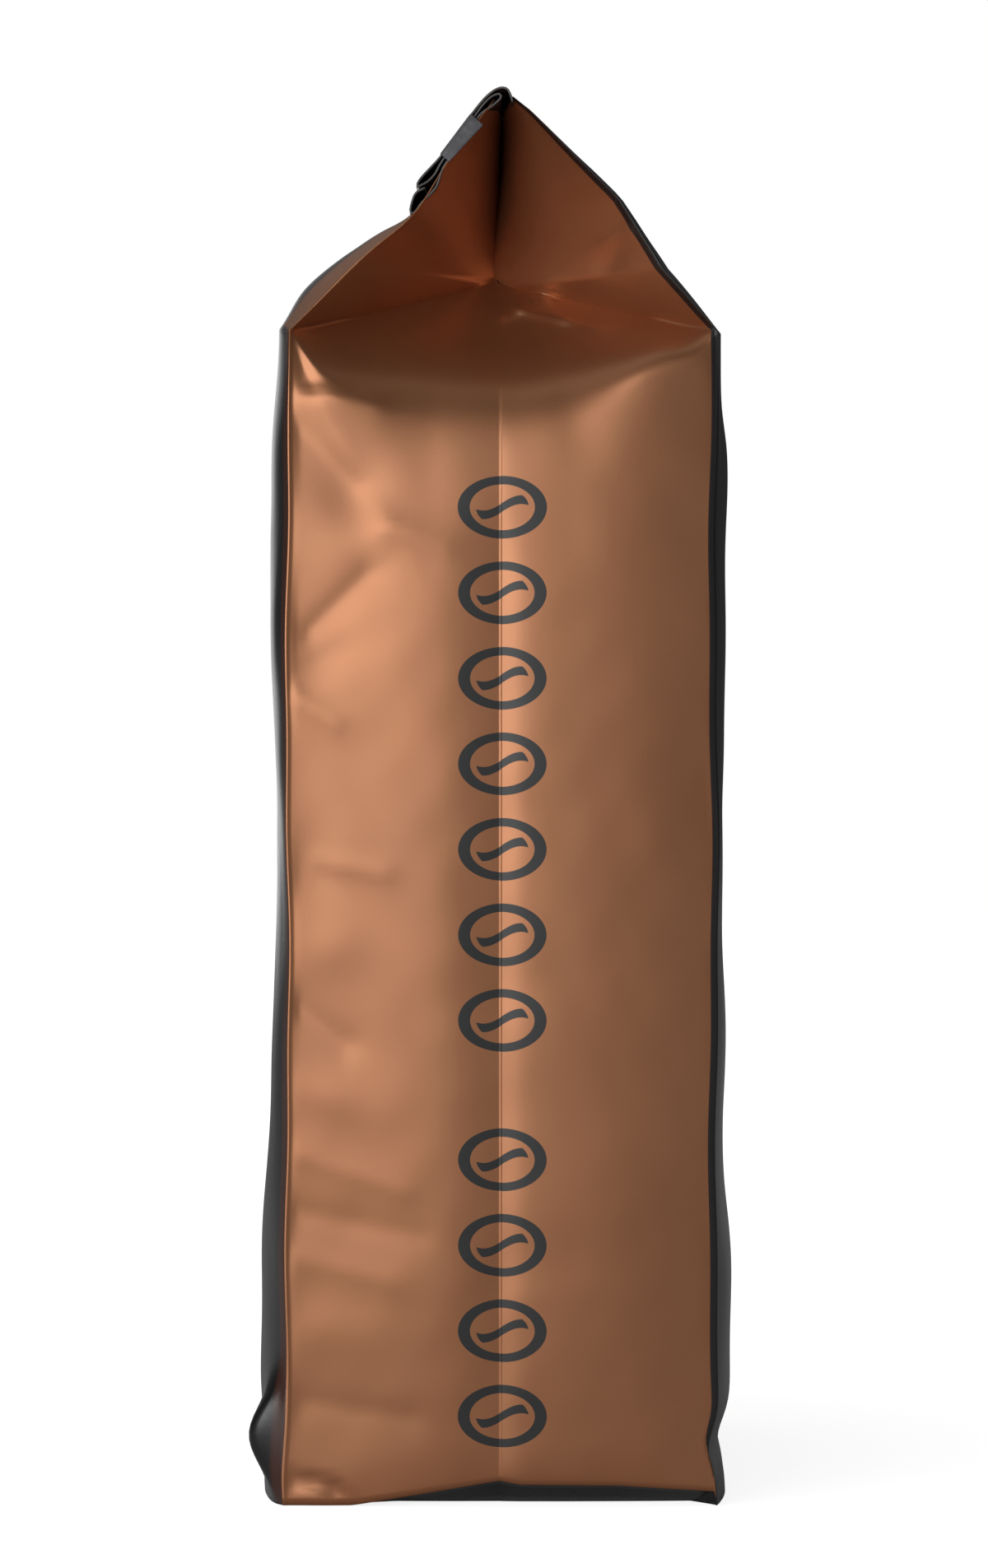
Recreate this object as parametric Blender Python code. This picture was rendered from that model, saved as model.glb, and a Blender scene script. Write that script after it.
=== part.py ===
"""Filled coffee bag with side gussets, standing, its top rolled over and held down by a tie strip.

Metres, +Z up. The broad panels face -Y (the front, towards which the top is rolled) and +Y (the
back), and the gussets face +X and -X. The origin is the middle of the base, on the surface that
the bag stands on.

The film is lofted through rings of points: up the body, and on up the roof, where each gusset
folds into a leaning triangle with a valley above its tip. The rolled flap is an outline in the YZ
plane, carried along X and joined to the film.
"""

import math

import bmesh
import bpy
from mathutils import Matrix, Vector

# Driving dimensions
BAG_WIDTH = 0.127
BAG_DEPTH = 0.080
SHOULDER_HEIGHT = 0.219
RIDGE_HEIGHT = 0.262
FLAP_LENGTH = 0.0275
STRIP_WIDTH = 0.0094
STRIP_THICKNESS = 0.0005
CLEARANCE = 0.0003

# Worked out from them
HALF_WIDTH = BAG_WIDTH / 2
HALF_DEPTH = BAG_DEPTH / 2
ROOF_RISE = RIDGE_HEIGHT - SHOULDER_HEIGHT
ROOF_SLOPE = math.hypot(HALF_DEPTH, ROOF_RISE)
RIDGE = Vector((0, 0, RIDGE_HEIGHT))
# The front slope, seen in the YZ plane: down it, and out of it
DOWN_SLOPE = Vector((0, -HALF_DEPTH, -ROOF_RISE)) / ROOF_SLOPE
OUT_OF_SLOPE = Vector((0, -ROOF_RISE, HALF_DEPTH)) / ROOF_SLOPE

# Swell of the filled film beyond its fold lines
PANEL_SWELL = 0.0020
BODY_SWELL = 0.0045
ROOF_SWELL = 0.0025
GUSSET_SWELL = 0.0030
SWELL_POWER = 0.50
CREASE_DEPTH = 0.0014
CREASE_REACH = 0.16

# Base: the flat that it stands on, and the gusset's lower edge arching above it
BASE_INSET = 0.006
BASE_EDGE_LIFT = 0.0015
ARCH_LIFT = 0.0038

# Roof: how far its two fold lines leave the straight line from shoulder to ridge
FRONT_SAG = 0.0015
FLAP_SAG = 0.0016
FLAP_SAG_PLACE = 0.60
FLAP_SAG_REACH = 0.10
BACK_KINK = 0.0028
BACK_KINK_PLACE = 0.56
BACK_KINK_REACH = 0.20
RIDGE_HALF = 0.0015

# Gusset above the shoulder: the lean of its triangle from upright, and the valley over its tip
LEAN = math.radians(63.2)
TIP_INWARD = HALF_DEPTH * math.sin(LEAN)
TIP_HEIGHT = SHOULDER_HEIGHT + HALF_DEPTH * math.cos(LEAN)
TIP_SHARE = HALF_DEPTH / ROOF_SLOPE
VALLEY_TOP_SHARE = 0.94
VALLEY_TOP_INWARD = 0.0388
VALLEY_TOP_HEIGHT = 0.2545
VALLEY_HALF_GAP = 0.0004

# Flap, in distances down the front slope from the ridge and out from it
FLAP_NOSE_RADIUS = 0.0022
FLAP_NOSE_CENTRE = Vector((0, -0.00045, 0.2624))
FLAP_LIP = (0.0236, 0.0001)
FLAP_END = (FLAP_LENGTH, -0.0022)
FLAP_SINK = 0.0008
FLAP_OVERHANG = 0.0003

# Strip: where its upper edge is down the flap, and how far it laps down the flap's two ends
STRIP_START = 0.0060
STRIP_LAP = 0.0026

# Grid of the film
PANEL_STEPS = 14
HALF_GUSSET_STEPS = 8
BODY_ROWS = 16
VALLEY_ROWS = 4
NOSE_STEPS = 10
FLAP_STEPS = 10
SHARP_ANGLE = math.radians(35)

COPPER = (0.36, 0.155, 0.075, 1.0)
GREY = (0.13, 0.13, 0.14, 1.0)


def clear_scene():
    """Removes every object that the file opens with."""
    for thing in list(bpy.data.objects):
        bpy.data.objects.remove(thing)


def new_collection(name):
    """A collection of that name in the scene."""
    made = bpy.data.collections.new(name)
    bpy.context.scene.collection.children.link(made)
    return made


def plain_material(name, colour, roughness, metallic):
    """A Principled material with these values."""
    made = bpy.data.materials.new(name)
    made.use_nodes = True
    shader = made.node_tree.nodes["Principled BSDF"]
    shader.inputs["Base Color"].default_value = colour
    shader.inputs["Roughness"].default_value = roughness
    shader.inputs["Metallic"].default_value = metallic
    return made


def mix(start, end, share):
    """The value that share of the way from start to end."""
    return start + (end - start) * share


def hump(value, middle, reach):
    """1 at the middle, falling smoothly to nothing within a few reaches of it."""
    return math.exp(-(((value - middle) / reach) ** 2))


def dome(across):
    """1 at a panel's middle and 0 at its fold lines, which are at -1 and 1."""
    return 1 - across**2


def fold_offset(share, side):
    """How far a fold line stands out of the straight roof slope, that share of the way up it."""
    if side < 0:
        sag = FRONT_SAG * math.sin(math.pi * share)
        return -sag - FLAP_SAG * hump(share, FLAP_SAG_PLACE, FLAP_SAG_REACH)
    return BACK_KINK * hump(share, BACK_KINK_PLACE, BACK_KINK_REACH) * math.sin(math.pi * share)


def fold_line(share, side):
    """(y, z) of the front (side -1) or back (side 1) fold line, share of the way up the roof."""
    offset = fold_offset(share, side)
    out = mix(HALF_DEPTH, RIDGE_HALF, share) - offset * OUT_OF_SLOPE.y
    return side * out, mix(SHOULDER_HEIGHT, RIDGE_HEIGHT, share) + offset * OUT_OF_SLOPE.z


def broad_panel(side, fold, rise_y, rise_z):
    """One row of a broad panel, whose middle stands that far out of the fold points."""
    points = []
    for step in range(PANEL_STEPS):
        across = 1 - 2 * step / PANEL_STEPS
        lift = dome(across)
        x = side * HALF_WIDTH * across
        points.append((x, fold[0] + side * rise_y * lift, fold[1] + rise_z * lift))
    return points


def gusset_places():
    """Places across a gusset, from its fold line at -1 to just before the one at 1."""
    return [step / HALF_GUSSET_STEPS - 1 for step in range(2 * HALF_GUSSET_STEPS)]


def body_gusset(side, height, arch, share):
    """One row of a gusset below the shoulder, with the fill's swell and the middle crease."""
    points = []
    for across in gusset_places():
        swell = GUSSET_SWELL * dome(across) * math.sin(math.pi * share) ** SWELL_POWER
        out = swell - CREASE_DEPTH * hump(across, 0, CREASE_REACH)
        z = height + arch * dome(across)
        points.append((side * (HALF_WIDTH + out), side * across * HALF_DEPTH, z))
    return points


def roof_gusset(side, share):
    """One row of a gusset above the shoulder.

    Up to the triangle's tip, a row runs in from a fold line to the triangle's edge, straight
    across the triangle, and out to the other fold line. Above the tip it runs in to the valley
    and out again.
    """
    climb = share * ROOF_SLOPE
    above_tip = max(0, share - TIP_SHARE) / (VALLEY_TOP_SHARE - TIP_SHARE)
    if above_tip:
        inward = mix(TIP_INWARD, VALLEY_TOP_INWARD, above_tip)
        height = mix(TIP_HEIGHT, VALLEY_TOP_HEIGHT, above_tip)
        half_gap = VALLEY_HALF_GAP
    else:
        inward = climb * math.sin(LEAN)
        height = SHOULDER_HEIGHT + climb * math.cos(LEAN)
        half_gap = HALF_DEPTH - climb
    # The first of each pair is at the row's start
    folds = [Vector((side * HALF_WIDTH, *fold_line(share, end))) for end in (-side, side)]
    inner_x = side * (HALF_WIDTH - inward)
    edges = [Vector((inner_x, end * half_gap, height)) for end in (-side, side)]
    wing = min(share / TIP_SHARE, 1)
    points = []
    for across in gusset_places():
        nearer = 0 if across < 0 else 1
        in_from_fold = 1 - abs(across)
        if in_from_fold < wing:
            point = folds[nearer].lerp(edges[nearer], in_from_fold / wing)
        elif wing < 1:
            point = edges[0].lerp(edges[1], (across / (1 - wing) + 1) / 2)
        else:
            point = edges[0].lerp(edges[1], 0.5)
        points.append(tuple(point))
    return points


def body_ring(share):
    """The ring that share of the way from the base edge to the shoulder."""
    height = mix(BASE_EDGE_LIFT, SHOULDER_HEIGHT, share)
    arch = (ARCH_LIFT - BASE_EDGE_LIFT) * max(0, 1 - share * BODY_ROWS)
    rise = PANEL_SWELL + BODY_SWELL * abs(math.sin(math.pi * share)) ** SWELL_POWER
    front = broad_panel(-1, (-HALF_DEPTH, height), rise, 0)
    back = broad_panel(1, (HALF_DEPTH, height), rise, 0)
    right = body_gusset(1, height, arch, share)
    return front + right + back + body_gusset(-1, height, arch, share)


def roof_ring(share):
    """The ring that share of the way from the shoulder to the ridge."""
    bare = min(1, share * ROOF_SLOPE / (ROOF_SLOPE - FLAP_LENGTH))
    rise = PANEL_SWELL * (1 - bare) + ROOF_SWELL * math.sin(math.pi * bare)
    rise_y, rise_z = -rise * OUT_OF_SLOPE.y, rise * OUT_OF_SLOPE.z
    front = broad_panel(-1, fold_line(share, -1), rise_y, rise_z)
    back = broad_panel(1, fold_line(share, 1), rise_y, rise_z)
    return front + roof_gusset(1, share) + back + roof_gusset(-1, share)


def base_ring():
    """The edge of the flat base: the body's lowest ring, drawn in and set down."""
    narrower = (HALF_WIDTH - BASE_INSET) / HALF_WIDTH
    shallower = (HALF_DEPTH - BASE_INSET) / HALF_DEPTH
    return [(x * narrower, y * shallower, 0) for x, y, z in body_ring(0)]


def ridge_ring():
    """The closed top, where each gusset is a short straight line between the two fold lines."""
    ring = []
    for side in (-1, 1):
        ring += broad_panel(side, fold_line(1, side), 0, 0)
        for across in gusset_places():
            ring.append((-side * HALF_WIDTH, side * -across * RIDGE_HALF, RIDGE_HEIGHT))
    return ring


def loft_rows():
    """Every ring of the film, from the base up."""
    rings = [base_ring()]
    rings += [body_ring(row / BODY_ROWS) for row in range(BODY_ROWS + 1)]
    for row in range(1, HALF_GUSSET_STEPS + 1):
        rings.append(roof_ring(TIP_SHARE * row / HALF_GUSSET_STEPS))
    for row in range(1, VALLEY_ROWS + 1):
        rings.append(roof_ring(mix(TIP_SHARE, VALLEY_TOP_SHARE, row / VALLEY_ROWS)))
    rings.append(ridge_ring())
    return rings


def loft_faces(ring_count, ring_size):
    """Triangles between neighbouring rings, and a cap at each end.

    In a gusset's first half the triangles are cut along the diagonal that climbs forwards, and
    in its second half along the one that climbs back, so that the triangle's folds are edges.
    """
    panel_and_gusset = PANEL_STEPS + 2 * HALF_GUSSET_STEPS
    faces = [list(range(ring_size))[::-1]]
    for row in range(ring_count - 1):
        for column in range(ring_size):
            ahead = (column + 1) % ring_size
            low, low_ahead = row * ring_size + column, row * ring_size + ahead
            high, high_ahead = low + ring_size, low_ahead + ring_size
            if column % panel_and_gusset < PANEL_STEPS + HALF_GUSSET_STEPS:
                faces += [(low, low_ahead, high_ahead), (low, high_ahead, high)]
            else:
                faces += [(low, low_ahead, high), (low_ahead, high_ahead, high)]
    faces.append([(ring_count - 1) * ring_size + column for column in range(ring_size)])
    return faces


def build_film(home):
    """The bag's film and all that it holds, as one solid up to the ridge."""
    rings = loft_rows()
    mesh = bpy.data.meshes.new("bag")
    points = [point for ring in rings for point in ring]
    mesh.from_pydata(points, [], loft_faces(len(rings), len(rings[0])))
    film = bpy.data.objects.new("bag", mesh)
    home.objects.link(film)
    return film


def on_slope(down, out):
    """(y, z) of a place that far down the front slope from the ridge, and out from it."""
    place = RIDGE + DOWN_SLOPE * down + OUT_OF_SLOPE * out
    return place.y, place.z


def flap_outline():
    """The flap's section: round the nose, down the outer face and lip, and back up inside."""
    from_back = math.radians(-20)
    to_front = math.atan2(OUT_OF_SLOPE.z, OUT_OF_SLOPE.y) - math.radians(7)
    outline = []
    for step in range(NOSE_STEPS + 1):
        turn = mix(from_back, to_front, step / NOSE_STEPS)
        reach_y = FLAP_NOSE_RADIUS * math.cos(turn)
        reach_z = FLAP_NOSE_RADIUS * math.sin(turn)
        outline.append((FLAP_NOSE_CENTRE.y + reach_y, FLAP_NOSE_CENTRE.z + reach_z))
    outline.append(on_slope(*FLAP_LIP))
    outline.append(on_slope(*FLAP_END))
    for step in range(FLAP_STEPS + 1):
        down = mix(FLAP_LENGTH, 2 * FLAP_NOSE_RADIUS, step / FLAP_STEPS)
        under = fold_offset(1 - down / ROOF_SLOPE, -1) - FLAP_SINK
        outline.append(on_slope(down, under))
    return outline


def flat_curve(name, outline, half_thickness, home):
    """A closed flat outline, given that much thickness each way along its own Z."""
    curve = bpy.data.curves.new(name, "CURVE")
    curve.dimensions = "2D"
    curve.fill_mode = "BOTH"
    curve.extrude = half_thickness
    spline = curve.splines.new("POLY")
    spline.points.add(len(outline) - 1)
    for point, (across, up) in zip(spline.points, outline):
        point.co = (across, up, 0, 1)
    spline.use_cyclic_u = True
    made = bpy.data.objects.new(name, curve)
    home.objects.link(made)
    return made


def meshed(curve_object, name, home):
    """The same shape as a mesh object whose caps are joined to its sides. The curve is removed."""
    bpy.context.view_layer.update()
    graph = bpy.context.evaluated_depsgraph_get()
    mesh = bpy.data.meshes.new_from_object(curve_object.evaluated_get(graph))
    work = bmesh.new()
    work.from_mesh(mesh)
    bmesh.ops.remove_doubles(work, verts=work.verts, dist=1e-6)
    bmesh.ops.recalc_face_normals(work, faces=work.faces)
    work.to_mesh(mesh)
    work.free()
    made = bpy.data.objects.new(name, mesh)
    made.matrix_world = curve_object.matrix_world.copy()
    home.objects.link(made)
    bpy.data.objects.remove(curve_object)
    return made


def build_flap(home):
    """The rolled top: its outline in the YZ plane, carried along X across the whole bag."""
    flap = flat_curve("flap_curve", flap_outline(), HALF_WIDTH + FLAP_OVERHANG, home)
    # The curve's own X, Y and Z become the bag's Y, Z and X
    flap.matrix_world = Matrix(((0, 0, 1, 0), (1, 0, 0, 0), (0, 1, 0, 0), (0, 0, 0, 1)))
    flap = meshed(flap, "flap", home)
    flap.hide_render = True
    flap.display_type = "WIRE"
    return flap


def strip_outline(half_inside):
    """The strip seen along its width: over the flap's face, and down over its two ends."""
    half_outside = half_inside + STRIP_THICKNESS
    above = CLEARANCE + STRIP_THICKNESS
    return [
        (-half_outside, -STRIP_LAP),
        (-half_inside, -STRIP_LAP),
        (-half_inside, CLEARANCE),
        (half_inside, CLEARANCE),
        (half_inside, -STRIP_LAP),
        (half_outside, -STRIP_LAP),
        (half_outside, above),
        (-half_outside, above),
    ]


def build_strip(home):
    """The tie strip across the flap's outer face, its ends bent down over the flap's ends."""
    nose_edge = Vector((0, *flap_outline()[NOSE_STEPS]))
    lip = Vector((0, *on_slope(*FLAP_LIP)))
    along = (lip - nose_edge).normalized()
    outwards = Vector((1, 0, 0)).cross(along)
    middle = nose_edge + along * (STRIP_START + STRIP_WIDTH / 2)
    half_inside = HALF_WIDTH + FLAP_OVERHANG + CLEARANCE
    strip = flat_curve("strip_curve", strip_outline(half_inside), STRIP_WIDTH / 2, home)
    # The curve's X stays, its Y points out of the flap, and its Z runs up the flap's face
    turned = Matrix((Vector((1, 0, 0)), -outwards, along)).transposed()
    strip.matrix_world = Matrix.Translation(middle) @ turned.to_4x4()
    return meshed(strip, "tie_strip", home)


def main():
    """Builds the bag and its strip."""
    clear_scene()
    home = new_collection("coffee_bag")
    helpers = new_collection("joined_shapes")
    helpers.hide_render = True
    film = build_film(home)
    film.data.materials.append(plain_material("copper_film", COPPER, 0.38, 0.75))
    union = film.modifiers.new("rolled_flap", "BOOLEAN")
    union.operation = "UNION"
    union.solver = "EXACT"
    union.object = build_flap(helpers)
    strip = build_strip(home)
    strip.data.materials.append(plain_material("tie_strip", GREY, 0.50, 0.0))
    for piece in (film, strip):
        piece.data.shade_smooth()
        piece.data.set_sharp_from_angle(angle=SHARP_ANGLE)


main()
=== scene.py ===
"""Looks of the filled coffee bag: printed film, its rolled top and the strip that holds the roll.

The film's shape is worked out in millimetres, in the frame's own axes, and turned to metres when
a mesh is made. The front panel faces -Y, the back one +Y, and the gussets face +X and -X. In the
film, u runs across a panel, in the sense of its horizontal axis, and v runs up it.
"""

import logging
import math
from dataclasses import dataclass, field
from enum import IntEnum

import bpy
import numpy as np
from numpy.typing import NDArray
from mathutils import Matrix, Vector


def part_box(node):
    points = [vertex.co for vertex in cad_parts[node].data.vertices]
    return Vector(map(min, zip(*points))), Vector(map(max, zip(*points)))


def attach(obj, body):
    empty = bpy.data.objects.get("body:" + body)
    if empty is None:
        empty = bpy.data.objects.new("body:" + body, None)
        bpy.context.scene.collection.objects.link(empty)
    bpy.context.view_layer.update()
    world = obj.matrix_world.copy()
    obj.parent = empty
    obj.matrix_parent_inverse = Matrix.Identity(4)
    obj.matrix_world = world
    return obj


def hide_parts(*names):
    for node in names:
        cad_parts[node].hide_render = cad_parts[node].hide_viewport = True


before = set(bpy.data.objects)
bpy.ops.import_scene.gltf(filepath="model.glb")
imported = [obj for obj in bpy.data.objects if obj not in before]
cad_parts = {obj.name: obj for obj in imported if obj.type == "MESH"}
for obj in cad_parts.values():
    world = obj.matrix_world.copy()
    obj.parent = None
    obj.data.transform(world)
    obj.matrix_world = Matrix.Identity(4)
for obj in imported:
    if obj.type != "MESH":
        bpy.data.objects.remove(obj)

Grid = NDArray[np.float64]
Colour = tuple[float, float, float]
Place = tuple[float, float]
Spot = tuple[float, float, float]

MM = 0.001
IMAGE_WIDTH, IMAGE_HEIGHT = 1200, 1905
log = logging.getLogger("coffee_bag")


# Places that the film and the roll keep clear of the frame's own box, in millimetres
END_LAP = 2.69
SWELL_ROOM = 6.5
ROLL_ROOM = 2.6
ROOF_HEIGHT = 43.0

# Stored on the film where there is no print and no copper field
FAR_ACROSS = 50.0
OFF_COPPER = -5.0


class Panel(IntEnum):
    """The two broad panels and their fold lines, with the sign of the side of Y = 0 they are on."""

    FRONT = -1
    BACK = 1


class Gusset(IntEnum):
    """The two gussets, with the sign of the side of X = 0 they are on."""

    LEFT = -1
    RIGHT = 1


# ---------------------------------------------------------------- small shape tools


def smooth_step(value: Grid, low: float, high: float) -> Grid:
    """0 below low and 1 above high, with a smooth climb between.

    Args:
        value: what is compared.
        low: where the climb starts.
        high: where it ends.

    Returns:
        The climb's height, 3t^2 - 2t^3 of the share t of the way from low to high.
    """
    share = np.clip((value - low) / (high - low), 0.0, 1.0)
    return share * share * (3.0 - 2.0 * share)


def soft_min(first: Grid, second: Grid, radius: float | Grid) -> Grid:
    """The lower of two heights, rounded where they cross.

    Args:
        first: one height.
        second: the other.
        radius: how far from the crossing the rounding reaches, as a height.

    Returns:
        Half the sum less half the root of the squared gap and the squared radius.
    """
    gap = first - second
    return 0.5 * (first + second - np.sqrt(gap * gap + radius * radius))


def hump(value: Grid, middle: float, reach: float) -> Grid:
    """A bell curve: 1 at the middle, and e^-1 at the reach."""
    return np.exp(-(((value - middle) / reach) ** 2))


def curve_through(places: Place | tuple[float, ...], values: tuple[float, ...], at: Grid) -> Grid:
    """A smooth curve through a few knots.

    Args:
        places: where the knots are, going up.
        values: the height of each knot.
        at: where the curve is read.

    Returns:
        Between two knots, their straight line bent by a cubic so that the slope at each knot is
        the mean of its two sides, or level where they turn. Flat beyond the first and last knot.
    """
    knots, heights = np.array(places), np.array(values)
    gaps = np.diff(heights) / np.diff(knots)
    level = gaps[1:] * gaps[:-1] <= 0.0
    inner = np.where(level, 0.0, (gaps[1:] + gaps[:-1]) / 2)
    slopes = np.concatenate([[gaps[0]], inner, [gaps[-1]]])
    at = np.clip(at, knots[0], knots[-1])
    here = np.clip(np.searchsorted(knots, at, side="right") - 1, 0, len(knots) - 2)
    width = (knots[1:] - knots[:-1])[here]
    t = (at - knots[here]) / width
    start, end = heights[here], heights[here + 1]
    lean_in, lean_out = slopes[here] * width, slopes[here + 1] * width
    bent = (2 * t**3 - 3 * t**2 + 1) * start + (3 * t**2 - 2 * t**3) * end
    return bent + (t**3 - 2 * t**2 + t) * lean_in + (t**3 - t**2) * lean_out


def crowded_ends(count: int, crowding: float) -> Grid:
    """Places from -1 to 1 that stand closer together towards both ends.

    Args:
        count: number of gaps.
        crowding: 0 for even gaps, nearly 1 for very close ends.

    Returns:
        t + crowding * sin(pi t) / pi of even places t.
    """
    even = np.linspace(-1.0, 1.0, count + 1)
    return even + crowding * np.sin(math.pi * even) / math.pi


def crowded_thirds(count: int, crowding: float) -> Grid:
    """Places from -1 to 1 that stand closer together towards both ends and the middle.

    Args:
        count: number of gaps, an even one, so that a place falls on 0.
        crowding: 0 for even gaps, nearly 1 for very close ones.

    Returns:
        t - crowding * sin(2 pi t) / (2 pi) of even places t.
    """
    even = np.linspace(-1.0, 1.0, count + 1)
    return even - crowding * np.sin(2.0 * math.pi * even) / (2.0 * math.pi)


@dataclass(frozen=True)
class Crease:
    """A straight ridge in a panel, or a valley where its height is negative.

    Seen from the start towards the end, left_reach and right_reach say how far the film takes to
    come back to its level on each side.
    """

    start: Place
    end: Place
    height: float
    left_reach: float
    right_reach: float
    crest: float = 0.5

    def lift(self, u: Grid, v: Grid) -> Grid:
        """The film's rise at each place.

        Args:
            u: places across the panel.
            v: places up it.

        Returns:
            The height times e to the minus distance over reach, with the crest rounded, where
            the distance is to the nearest point of the line.
        """
        along_u, along_v = self.end[0] - self.start[0], self.end[1] - self.start[1]
        length = math.hypot(along_u, along_v)
        off_u, off_v = u - self.start[0], v - self.start[1]
        share = np.clip((off_u * along_u + off_v * along_v) / length**2, 0.0, 1.0)
        away = np.hypot(off_u - share * along_u, off_v - share * along_v)
        to_left = smooth_step(along_u * off_v - along_v * off_u, -0.6 * length, 0.6 * length)
        reach = self.right_reach + (self.left_reach - self.right_reach) * to_left
        rounded = np.sqrt(away**2 + self.crest**2) - self.crest
        return self.height * np.exp(-rounded / reach)


@dataclass(frozen=True)
class Dent:
    """An oval hollow in a panel, or a swelling where its depth is negative."""

    centre: Place
    radii: Place
    depth: float
    turn: float = 0.0

    def lift(self, u: Grid, v: Grid) -> Grid:
        """The film's rise at each place: minus the depth times a bell curve of the oval's radii."""
        cos, sin = math.cos(math.radians(self.turn)), math.sin(math.radians(self.turn))
        off_u, off_v = u - self.centre[0], v - self.centre[1]
        along = (off_u * cos + off_v * sin) / self.radii[0]
        across = (off_v * cos - off_u * sin) / self.radii[1]
        return -self.depth * np.exp(-(along**2 + across**2))


@dataclass(frozen=True)
class Ripples:
    """Slow unevenness made of many small waves of seeded direction and phase."""

    seed: int
    height: float
    shortest: float
    longest: float
    count: int = 24

    def lift(self, u: Grid, v: Grid) -> Grid:
        """The film's rise at each place: a sum of sines, each wave's height after its length."""
        draw = np.random.default_rng(self.seed)
        total = np.zeros(np.broadcast(u, v).shape)
        for _ in range(self.count):
            length = draw.uniform(self.shortest, self.longest)
            heading = draw.uniform(0.0, math.pi)
            phase = draw.uniform(0.0, 2.0 * math.pi)
            run = (u * math.cos(heading) + v * math.sin(heading)) * (2.0 * math.pi / length)
            total += np.sin(run + phase) * length / self.longest
        return total * self.height / math.sqrt(self.count)


Relief = Crease | Dent | Ripples


def lifted(relief: tuple[Relief, ...], u: Grid, v: Grid) -> Grid:
    """The sum of what each crease, dent and ripple lifts the film by."""
    total = np.zeros(np.broadcast(u, v).shape)
    for mark in relief:
        total += mark.lift(u, v)
    return total


# ---------------------------------------------------------------- meshes


def make_mesh(name: str, points: Grid, faces: NDArray[np.int64], caps: list[list[int]]) -> bpy.types.Object:
    """A smooth-shaded mesh object at the origin.

    Args:
        name: the object's name.
        points: corners in millimetres, one a row.
        faces: quads, four corner numbers a row.
        caps: further faces of any number of corners.

    Returns:
        The object, linked to the scene.
    """
    mesh = bpy.data.meshes.new(name)
    mesh.from_pydata((points * MM).tolist(), [], faces.tolist() + caps)
    mesh.validate()
    mesh.shade_smooth()
    made = bpy.data.objects.new(name, mesh)
    bpy.context.scene.collection.objects.link(made)
    return made


def ring_quads(rows: int, columns: int, closed: bool) -> NDArray[np.int64]:
    """Quads of a grid of points that is numbered row by row.

    Args:
        rows: number of rows.
        columns: number of columns.
        closed: whether the last column joins the first.

    Returns:
        Four corner numbers a quad, against the clock with rows going up and columns to the right.
    """
    low = np.arange(rows - 1)[:, None] * columns
    here = np.arange(columns if closed else columns - 1)[None, :]
    ahead = (here + 1) % columns
    corners = (low + here, low + ahead, low + ahead + columns, low + here + columns)
    return np.stack(corners, axis=-1).reshape(-1, 4)


def end_caps(rows: int, columns: int) -> list[list[int]]:
    """The two faces that close a tube of points numbered row by row, the lowest one turned down."""
    last = (rows - 1) * columns
    return [list(range(columns))[::-1], list(range(last, last + columns))]


def add_point_values(thing: bpy.types.Object, name: str, values: Grid) -> None:
    """Stores one number a point on the mesh, for its material to read by that name."""
    layer = thing.data.attributes.new(name, "FLOAT", "POINT")
    layer.data.foreach_set("value", values.astype(np.float32).ravel())


def add_map(thing: bpy.types.Object, name: str, u: Grid, v: Grid) -> None:
    """Stores a UV map from one pair of numbers a point."""
    corners = np.empty(len(thing.data.loops), np.int32)
    thing.data.loops.foreach_get("vertex_index", corners)
    flat = np.stack([u.ravel()[corners], v.ravel()[corners]], axis=1)
    layer = thing.data.uv_layers.new(name=name)
    layer.data.foreach_set("uv", flat.astype(np.float32).ravel())


# ---------------------------------------------------------------- finishes


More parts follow.
